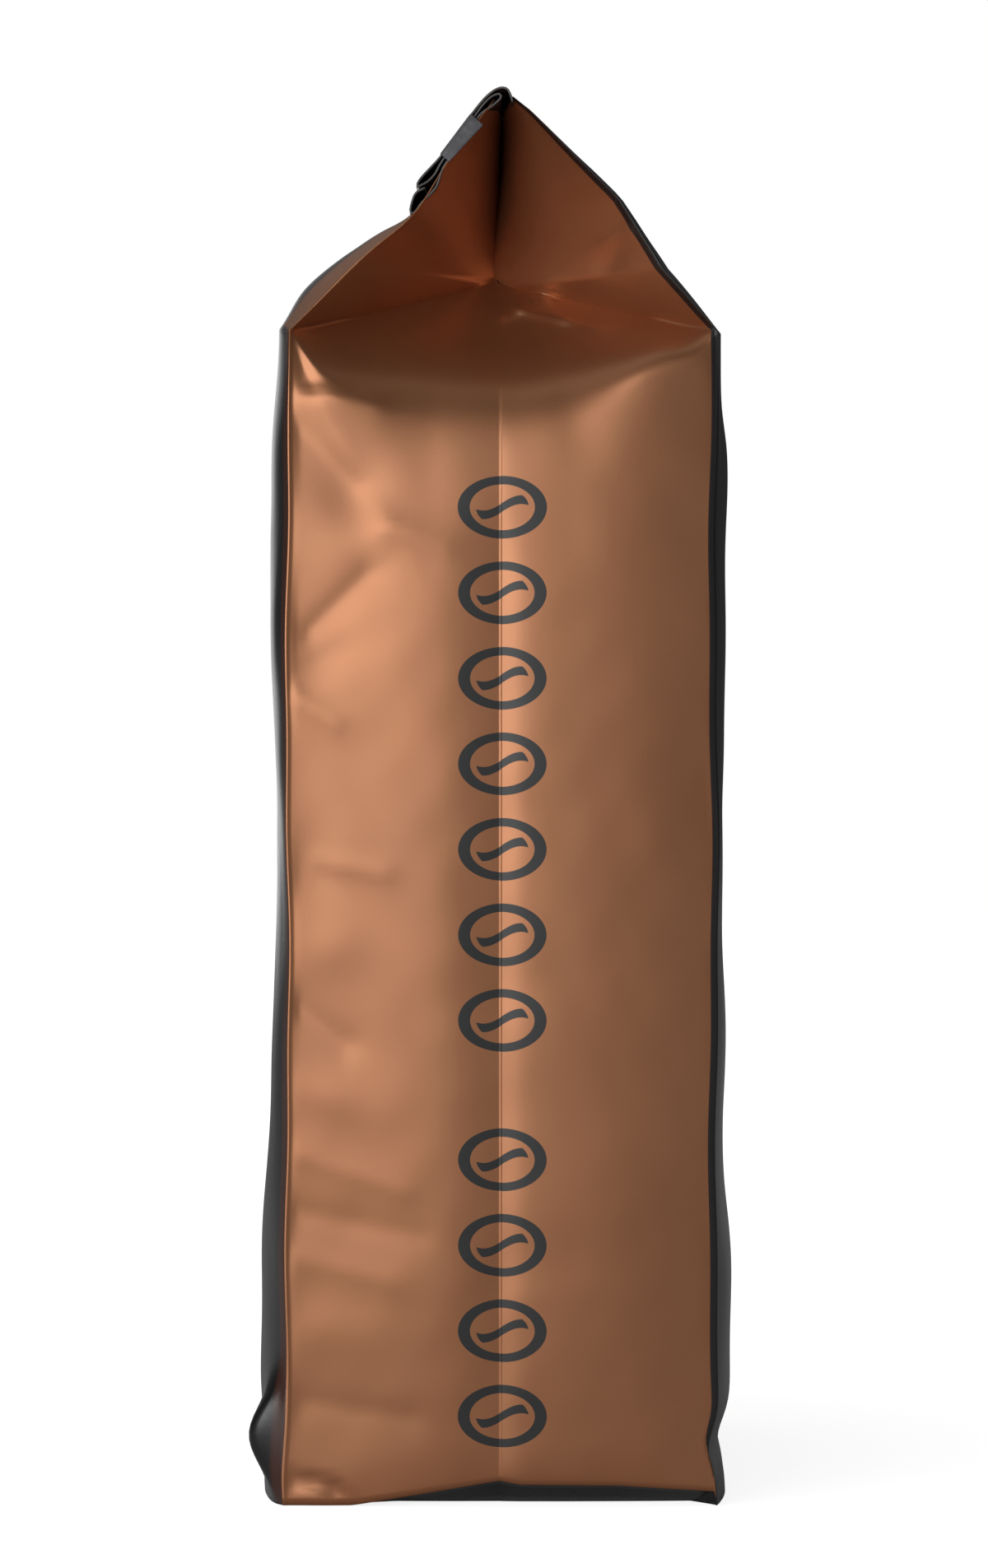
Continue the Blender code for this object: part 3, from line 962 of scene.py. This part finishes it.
    def base_rings(self, edge: Grid) -> Grid:
        """Rings that close the base, from the middle out to just inside its edge.

        Args:
            edge: the shell's lowest ring.

        Returns:
            Rings by columns by three, each the edge drawn in towards the middle and set down.
        """
        shares = np.array([0.02, 0.15, 0.3, 0.45, 0.6, 0.72, 0.82, 0.89, 0.94, 0.97, 0.99])
        rings = edge[None, :, :] * shares[:, None, None]
        lowered = 1.0 - smooth_step(shares, 0.90, 1.0)
        rings[:, :, 2] = edge[None, :, 2] * (1.0 - lowered[:, None]) + 0.05
        return rings

    def build(self) -> bpy.types.Object:
        """Makes the shell and dresses it.

        Returns:
            The film's object, with its copper margin and print map stored on it.
        """
        heights = self.row_heights()
        front = self.panel(Panel.FRONT, heights, (Ripples(3, 0.30, 14.0, 60.0),))
        back = self.panel(Panel.BACK, heights, (Ripples(5, 0.30, 14.0, 60.0),))
        right = self.gusset(Gusset.RIGHT, heights)
        left = self.gusset(Gusset.LEFT, heights)
        wall = np.concatenate([front, right, back, left], axis=1)
        shell = np.concatenate([self.base_rings(wall[0]), wall], axis=0)
        rows, columns = shell.shape[:2]
        quads = ring_quads(rows, columns, True)
        film = make_mesh("film", shell.reshape(-1, 3), quads, end_caps(rows, columns))
        copper, wrapped, print_u = self.registration(shell, rows - len(heights))
        add_point_values(film, "copper", copper)
        add_point_values(film, "wrapped", wrapped)
        add_map(film, "print", print_u, shell[:, :, 2])
        self.sharpen_folds(film, rows, columns)
        film.data.materials.append(self.finish.material())
        return film

    def registration(self, shell: Grid, base_rows: int) -> tuple[Grid, Grid, Grid]:
        """Where the copper field and the print lie on the film.

        Args:
            shell: the shell's points.
            base_rows: number of rows that belong to the base.

        Returns:
            Millimetres inside the copper field's nearest edge, then how wide the maroon margin of
            painted shade is as a share of its named width, 0 off the front panel, and then millimetres
            across from a gusset's middle crease, far away on the broad panels.
        """
        step = np.linalg.norm(np.diff(shell, axis=1, append=shell[:, :1]), axis=-1)
        travelled = np.cumsum(step, axis=1) - step
        total = travelled[:, -1:] + step[:, -1:]
        copper = np.full(travelled.shape, -1e3)
        margin = np.full((len(shell), 1), self.black_margin)
        margin[-self.roof_rows :] = self.roof_margin
        wrap = np.full((len(shell), 1), self.copper_wrap)
        wrap[-self.roof_rows :] = self.roof_wrap
        across = np.full(travelled.shape, FAR_ACROSS)
        starts = (self.panel_columns, 2 * self.panel_columns + self.gusset_columns)
        for start, side in zip(starts, (Gusset.RIGHT, Gusset.LEFT)):
            end = (start + self.gusset_columns) % travelled.shape[1]
            first = travelled[:, start : start + 1]
            last = travelled[:, end : end + 1] if end else total
            wrapped = (travelled - first + total / 2) % total - total / 2 + first
            inside = np.minimum(wrapped - first, last - wrapped)
            if side is Gusset.RIGHT:
                field_edge = np.minimum(wrapped - first + wrap, last - margin - wrapped)
            else:
                field_edge = np.minimum(wrapped - first - margin, last + wrap - wrapped)
            copper = np.maximum(copper, field_edge)
            middle = travelled[:, start + self.gusset_columns // 2][:, None]
            across = np.where(inside >= 0.0, (wrapped - middle) * side, across)
        copper[:base_rows] = OFF_COPPER
        across[:base_rows] = FAR_ACROSS
        wrapped = np.zeros(travelled.shape)
        wrapped[base_rows:, : self.panel_columns + 1] = 1.0
        wrapped[-self.roof_rows :, : self.panel_columns + 1] = self.roof_shaded_margin_share
        return copper, wrapped, across

    def sharpen_folds(self, film: bpy.types.Object, rows: int, columns: int) -> None:
        """Marks the edges along the middle creases and the wings' lower edges as sharp."""
        quarter = self.gusset_columns // 4
        firsts = (self.panel_columns, 2 * self.panel_columns + self.gusset_columns)
        folds = [first + 2 * quarter for first in firsts]
        bends = [(first + step * quarter) % columns for first in firsts for step in (1, 3)]
        ends = np.empty(2 * len(film.data.edges), np.int32)
        film.data.edges.foreach_get("vertices", ends)
        row, column = np.divmod(ends.reshape(-1, 2), columns)
        upright = column[:, 0] == column[:, 1]
        first_roof_row = rows - self.roof_rows
        above_shoulder = row.min(axis=1) > first_roof_row + 2
        in_roof = above_shoulder & (row.max(axis=1) <= first_roof_row + self.tip_row)
        sharp = upright & (np.isin(column[:, 0], folds) | (np.isin(column[:, 0], bends) & in_roof))
        layer = film.data.attributes.new("sharp_edge", "BOOLEAN", "EDGE")
        layer.data.foreach_set("value", sharp)


# ---------------------------------------------------------------- the rolled top


@dataclass
class RolledTop:
    """The top of the film, folded flat and rolled down onto the front slope."""

    half_width: float
    half_depth: float
    shoulder: float
    ridge: float
    thickness: float = 0.40
    path_steps: int = 150
    face_columns: int = 70
    edge_columns: int = 4
    finish: RollFilm = field(default_factory=RollFilm)

    # Down the front slope from the ridge, and out from it, from the roll's outer turn inwards
    turns: tuple[Place, ...] = (
        (-1.1, -1.7),
        (-1.8, -0.5),
        (-2.1, 0.9),
        (-0.9, 2.05),
        (1.7, 2.55),
        (5.8, 2.30),
        (10.0, 1.75),
        (15.5, 1.20),
        (20.5, 1.20),
        (22.2, 0.95),
        (22.7, 0.50),
        (22.0, 0.15),
        (20.6, -0.30),
        (18.6, -0.30),
        (16.2, 0.30),
        (12.0, 0.85),
        (7.0, 1.50),
        (3.1, 1.95),
        (1.1, 1.85),
        (-0.2, 1.35),
        (-0.5, 0.80),
        (0.2, 0.40),
        (2.4, 0.65),
        (3.9, 1.00),
        (5.5, 1.02),
        (10.0, 0.35),
        (15.6, -0.35),
        (17.5, -0.85),
        (19.1, -1.60),
        (20.4, -2.05),
        (22.1, -2.10),
        (24.4, -2.00),
        (26.3, -2.25),
        (26.9, -1.85),
        (26.0, -1.15),
        (24.5, -0.40),
        (23.4, -0.20),
        (21.8, -0.75),
    )

    def on_slope(self, down: Grid, out: Grid) -> tuple[Grid, Grid]:
        """y and z of places down the front slope from the ridge and out from it."""
        rise = self.ridge - self.shoulder
        slope = math.hypot(self.half_depth, rise)
        down_y, down_z = -self.half_depth / slope, -rise / slope
        return down * down_y + out * down_z, self.ridge + down * down_z - out * down_y

    def path(self) -> tuple[Grid, Grid]:
        """The roll's path: a Catmull-Rom curve through its turns, cut into even steps.

        Returns:
            Distances down and out.
        """
        knots = np.array(self.turns)
        padded = np.concatenate([[2 * knots[0] - knots[1]], knots, [2 * knots[-1] - knots[-2]]])
        t = np.linspace(0.0, 1.0, 17)[:-1, None, None]
        p0, p1, p2, p3 = padded[:-3], padded[1:-2], padded[2:-1], padded[3:]
        squared = (2 * p0 - 5 * p1 + 4 * p2 - p3) * t**2
        cubed = (3 * p1 - p0 - 3 * p2 + p3) * t**3
        curve = 0.5 * (2 * p1 + (p2 - p0) * t + squared + cubed)
        curve = np.concatenate([curve.transpose(1, 0, 2).reshape(-1, 2), knots[-1:]])
        travelled = np.concatenate([[0.0], np.cumsum(np.linalg.norm(np.diff(curve, axis=0), axis=1))])
        even = np.linspace(0.0, travelled[-1], self.path_steps)
        return np.interp(even, travelled, curve[:, 0]), np.interp(even, travelled, curve[:, 1])

    def build(self) -> bpy.types.Object:
        """Carries a thin ribbon's section along the path, across the whole bag.

        Returns:
            The roll's object.
        """
        down, out = self.path()
        heading = np.arctan2(np.gradient(out), np.gradient(down))
        flat = np.linspace(-1.0, 1.0, self.face_columns)
        bend = np.linspace(0.0, math.pi, self.edge_columns + 2)[1:-1]
        radius = self.thickness / 2
        outer = np.stack([flat * self.half_width, np.full(flat.size, radius)], axis=1)
        right = np.stack([self.half_width + radius * np.sin(bend), radius * np.cos(bend)], axis=1)
        section = np.concatenate([outer, right, -outer, -right])
        steps = np.arange(self.path_steps) / self.path_steps
        loose = 0.5 * np.sin(steps * 19.0) + 0.25 * np.sin(steps * 47.0)
        x = section[None, :, 0] * (1.0 - 0.004 + loose[:, None] * 0.004)
        wave = Ripples(7, 0.10, 18.0, 60.0).lift(x, down[:, None])
        off = section[None, :, 1] + wave
        place_down = down[:, None] - off * np.sin(heading)[:, None]
        place_out = out[:, None] + off * np.cos(heading)[:, None]
        y, z = self.on_slope(place_down, place_out)
        points = np.stack([x, y, z], axis=-1)
        columns = section.shape[0]
        quads = ring_quads(self.path_steps, columns, True)
        roll = make_mesh("rolled_top", points.reshape(-1, 3), quads, end_caps(self.path_steps, columns))
        from_edge = self.half_width - np.abs(section[:, 0])
        add_point_values(roll, "from_edge", np.broadcast_to(from_edge, points.shape[:2]))
        roll.data.materials.append(self.finish.material())
        return roll


@dataclass
class TieStrip:
    """The strip over the roll, its two ends bent down over the roll's ends."""

    roll: RolledTop
    width: float = 9.4
    thickness: float = 0.45
    start: float = 5.9
    lap: float = 2.9
    corner: float = 0.9
    outer: float = 2.35
    tilt: float = -0.105
    end_out: float = -0.75
    past_roll: float = 0.55
    run_steps: int = 40
    face_steps: int = 9
    finish: FrostedStrip = field(default_factory=FrostedStrip)

    def section(self) -> Grid:
        """The strip's flat section, with round edges: places across it and off its middle plane."""
        radius = self.thickness / 2
        flat_half = self.width / 2 - radius
        turn = np.linspace(-math.pi / 2, math.pi / 2, 5)[1:-1]
        across = np.linspace(-1.0, 1.0, self.face_steps) * flat_half
        face = np.stack([across, np.full(self.face_steps, radius)], axis=1)
        edge = np.stack([flat_half + radius * np.cos(turn), -radius * np.sin(turn)], axis=1)
        return np.concatenate([face, edge, -face, -edge])

    def run(self) -> tuple[Grid, Grid]:
        """The strip's path: level over the roll, then down both ends round a corner.

        Returns:
            Places along X, and heights over the level run, which are 0 or less.
        """
        reach = self.roll.half_width + self.past_roll
        bend = np.linspace(0.0, math.pi / 2, 7)
        level_x = np.linspace(0.0, reach - self.corner, self.run_steps)
        turn_x = reach - self.corner + self.corner * np.sin(bend)
        turn_drop = self.corner * np.cos(bend) - self.corner
        end_drop = np.linspace(-self.corner, -self.lap, 8)[1:]
        half_x = np.concatenate([level_x, turn_x[1:], np.full(end_drop.size, reach)])
        half_drop = np.concatenate([np.zeros(level_x.size), turn_drop[1:], end_drop])
        x = np.concatenate([-half_x[:0:-1], half_x])
        return x, np.concatenate([half_drop[:0:-1], half_drop])

    def build(self) -> bpy.types.Object:
        """Carries the strip's flat section over the roll and down both ends.

        Returns:
            The strip's object.
        """
        x, drop = self.run()
        heading = np.arctan2(np.gradient(drop), np.gradient(x))
        section = self.section()
        off = section[None, :, 1]
        down = self.start + self.width / 2 + section[None, :, 0] + 0.0 * x[:, None]
        base_out = self.outer + self.tilt * (down - self.start)
        reach_down = (base_out - self.end_out) / self.lap
        place_x = x[:, None] - off * np.sin(heading)[:, None]
        place_out = base_out + drop[:, None] * reach_down + off * np.cos(heading)[:, None]
        y, z = self.roll.on_slope(down, place_out)
        points = np.stack([place_x, y, z], axis=-1)
        rows, columns = points.shape[:2]
        quads = ring_quads(rows, columns, True)[:, ::-1]
        caps = [cap[::-1] for cap in end_caps(rows, columns)]
        strip = make_mesh("strip", points.reshape(-1, 3), quads, caps)
        strip.data.materials.append(self.finish.material())
        return strip


# ---------------------------------------------------------------- the studio


@dataclass(frozen=True)
class Glow:
    """A soft light in the room around a heading."""

    heading: Spot
    faint: float
    full: float
    strength: float

    def added(
        self, tree: bpy.types.NodeTree, looking: bpy.types.NodeSocket, so_far: bpy.types.NodeSocket
    ) -> bpy.types.NodeSocket:
        """Adds the glow to the room's light.

        Args:
            tree: the room's node tree.
            looking: the direction looked in.
            so_far: the light of that direction without this glow.

        Returns:
            The light with it, where the cosine between the two headings climbs from faint to full.
        """
        along = tree.nodes.new("ShaderNodeVectorMath")
        along.operation = "DOT_PRODUCT"
        tree.links.new(looking, along.inputs[0])
        length = math.hypot(*self.heading)
        along.inputs[1].default_value = tuple(part / length for part in self.heading)
        climb = tree.nodes.new("ShaderNodeMapRange")
        climb.interpolation_type = "SMOOTHSTEP"
        tree.links.new(along.outputs["Value"], climb.inputs[0])
        for socket, number in zip(list(climb.inputs)[1:5], (self.faint, self.full, 0.0, self.strength)):
            socket.default_value = number
        total = tree.nodes.new("ShaderNodeMath")
        tree.links.new(so_far, total.inputs[0])
        tree.links.new(climb.outputs[0], total.inputs[1])
        return total.outputs[0]


@dataclass(frozen=True)
class Lamp:
    """A white area lamp, with its place, its aim and its size in metres and its power in watts."""

    name: str
    place: Spot
    aim: Spot
    size: Place
    power: float

    def build(self) -> None:
        """Hangs the lamp, turned towards its aim with its longer side level."""
        data = bpy.data.lights.new(self.name, "AREA")
        data.shape = "RECTANGLE"
        data.size, data.size_y = self.size
        data.energy = self.power
        lamp = bpy.data.objects.new(self.name, data)
        lamp.location = self.place
        towards = np.array(self.aim) - np.array(self.place)
        pitch = math.acos(-towards[2] / np.linalg.norm(towards))
        lamp.rotation_euler = (pitch, 0.0, math.atan2(towards[1], towards[0]) - math.pi / 2)
        bpy.context.scene.collection.objects.link(lamp)


@dataclass(frozen=True)
class Studio:
    """The floor, the window lamp, the room's glow and the camera, in metres."""

    distance: float = 0.95
    near_plane: float = 0.0635
    view_height: float = 0.1345
    view_y: float = -0.0015
    seen_height: float = 0.292
    sensor: float = 36.0
    floor_radius: float = 4.0
    floor_colour: Colour = (0.86, 0.86, 0.86)
    fade_from: float = 0.08
    fade_to: float = 0.30
    least_white: float = 0.84
    window: Lamp = Lamp("window", (1.157, -0.708, 0.335), (0.067, 0.0, 0.12), (1.32, 0.52), 7.8)
    dimmest: float = 0.05
    glows: tuple[Glow, ...] = (
        Glow((1.0, 0.45, 0.0), 0.76, 0.98, 0.15),
        Glow((-0.3, 0.0, 1.0), 0.55, 0.97, 0.32),
        Glow((-1.0, -0.12, 0.0), 0.97, 0.995, 1.9),
        Glow((-0.75, -0.40, 0.55), 0.88, 0.98, 0.15),
        Glow((0.3, -0.52, 0.80), 0.86, 0.98, 0.28),
    )

    def camera(self) -> None:
        """Sets the camera level with the bag's middle, looking along -X at a gusset."""
        data = bpy.data.cameras.new("camera")
        data.sensor_fit = "VERTICAL"
        data.sensor_height = self.sensor
        data.lens = self.sensor * self.distance / self.seen_height
        camera = bpy.data.objects.new("camera", data)
        camera.location = (self.near_plane + self.distance, self.view_y, self.view_height)
        camera.rotation_euler = (math.pi / 2, 0.0, math.pi / 2)
        bpy.context.scene.collection.objects.link(camera)
        bpy.context.scene.camera = camera

    def world(self) -> None:
        """A dim room with soft glows, which the camera itself sees as plain white."""
        world = bpy.data.worlds.new("room")
        world.use_nodes = True
        tree = world.node_tree
        tree.nodes.clear()
        heading = tree.nodes.new("ShaderNodeTexCoord").outputs["Generated"]
        strength = tree.nodes.new("ShaderNodeValue").outputs[0]
        strength.default_value = self.dimmest
        for glow in self.glows:
            strength = glow.added(tree, heading, strength)
        felt = tree.nodes.new("ShaderNodeBackground")
        tree.links.new(strength, felt.inputs["Strength"])
        seen = tree.nodes.new("ShaderNodeBackground")
        seen.inputs[0].default_value = (1.0, 1.0, 1.0, 1.0)
        path = tree.nodes.new("ShaderNodeLightPath")
        mixed = tree.nodes.new("ShaderNodeMixShader")
        tree.links.new(path.outputs["Is Camera Ray"], mixed.inputs[0])
        tree.links.new(felt.outputs[0], mixed.inputs[1])
        tree.links.new(seen.outputs[0], mixed.inputs[2])
        output = tree.nodes.new("ShaderNodeOutputWorld")
        tree.links.new(mixed.outputs[0], output.inputs[0])
        bpy.context.scene.world = world

    def floor(self) -> None:
        """A pale floor that fades into the white room."""
        nodes = Nodes("floor")
        place = nodes.object_place()
        away = nodes.add("VectorMath", {"operation": "LENGTH"}, Vector=place).outputs["Value"]
        matt = nodes.add("BsdfDiffuse", Color=self.floor_colour)
        seen = nodes.add("LightPath").outputs["Is Camera Ray"]
        faded = nodes.span(away, self.fade_from, self.fade_to, self.least_white, 1.0)
        glow = nodes.maths("MULTIPLY", seen, faded)
        white = nodes.add("Emission", Color=(1.0, 1.0, 1.0), Strength=glow)
        mixed = nodes.add("AddShader")
        nodes.tree.links.new(matt.outputs[0], mixed.inputs[0])
        nodes.tree.links.new(white.outputs[0], mixed.inputs[1])
        bpy.ops.mesh.primitive_circle_add(
            vertices=96, radius=self.floor_radius, fill_type="NGON", location=(0, 0, 0)
        )
        floor = bpy.context.active_object
        floor.name = "floor"
        floor.data.materials.append(nodes.close(mixed))

    def build(self) -> None:
        """Sets up the whole studio."""
        self.camera()
        self.world()
        self.floor()
        self.window.build()
        bpy.context.scene.view_settings.view_transform = "Standard"


def report(name: str, thing: bpy.types.Object) -> None:
    """Logs a finished piece's name and its number of faces."""
    log.info("%s: %d faces", name, len(thing.data.polygons))


def main() -> None:
    """Builds the studio and the bag's pieces, attaches each to the root body and logs its number of faces."""
    logging.basicConfig(level=logging.INFO, format="%(name)s %(message)s")
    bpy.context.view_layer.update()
    _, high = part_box("bag")
    Studio().build()
    half_width = high[0] / MM - END_LAP
    half_depth = high[1] / MM - SWELL_ROOM
    ridge = high[2] / MM - ROLL_ROOM
    shoulder = ridge - ROOF_HEIGHT

    film = Film(half_width, half_depth, shoulder, ridge).build()
    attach(film, "root")
    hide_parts("bag")
    report("film", film)

    rolled = RolledTop(half_width, half_depth, shoulder, ridge)
    roll = rolled.build()
    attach(roll, "root")
    report("rolled top", roll)

    strip = TieStrip(rolled).build()
    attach(strip, "root")
    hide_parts("tie_strip")
    report("strip", strip)


if __name__ == "__main__":
    main()
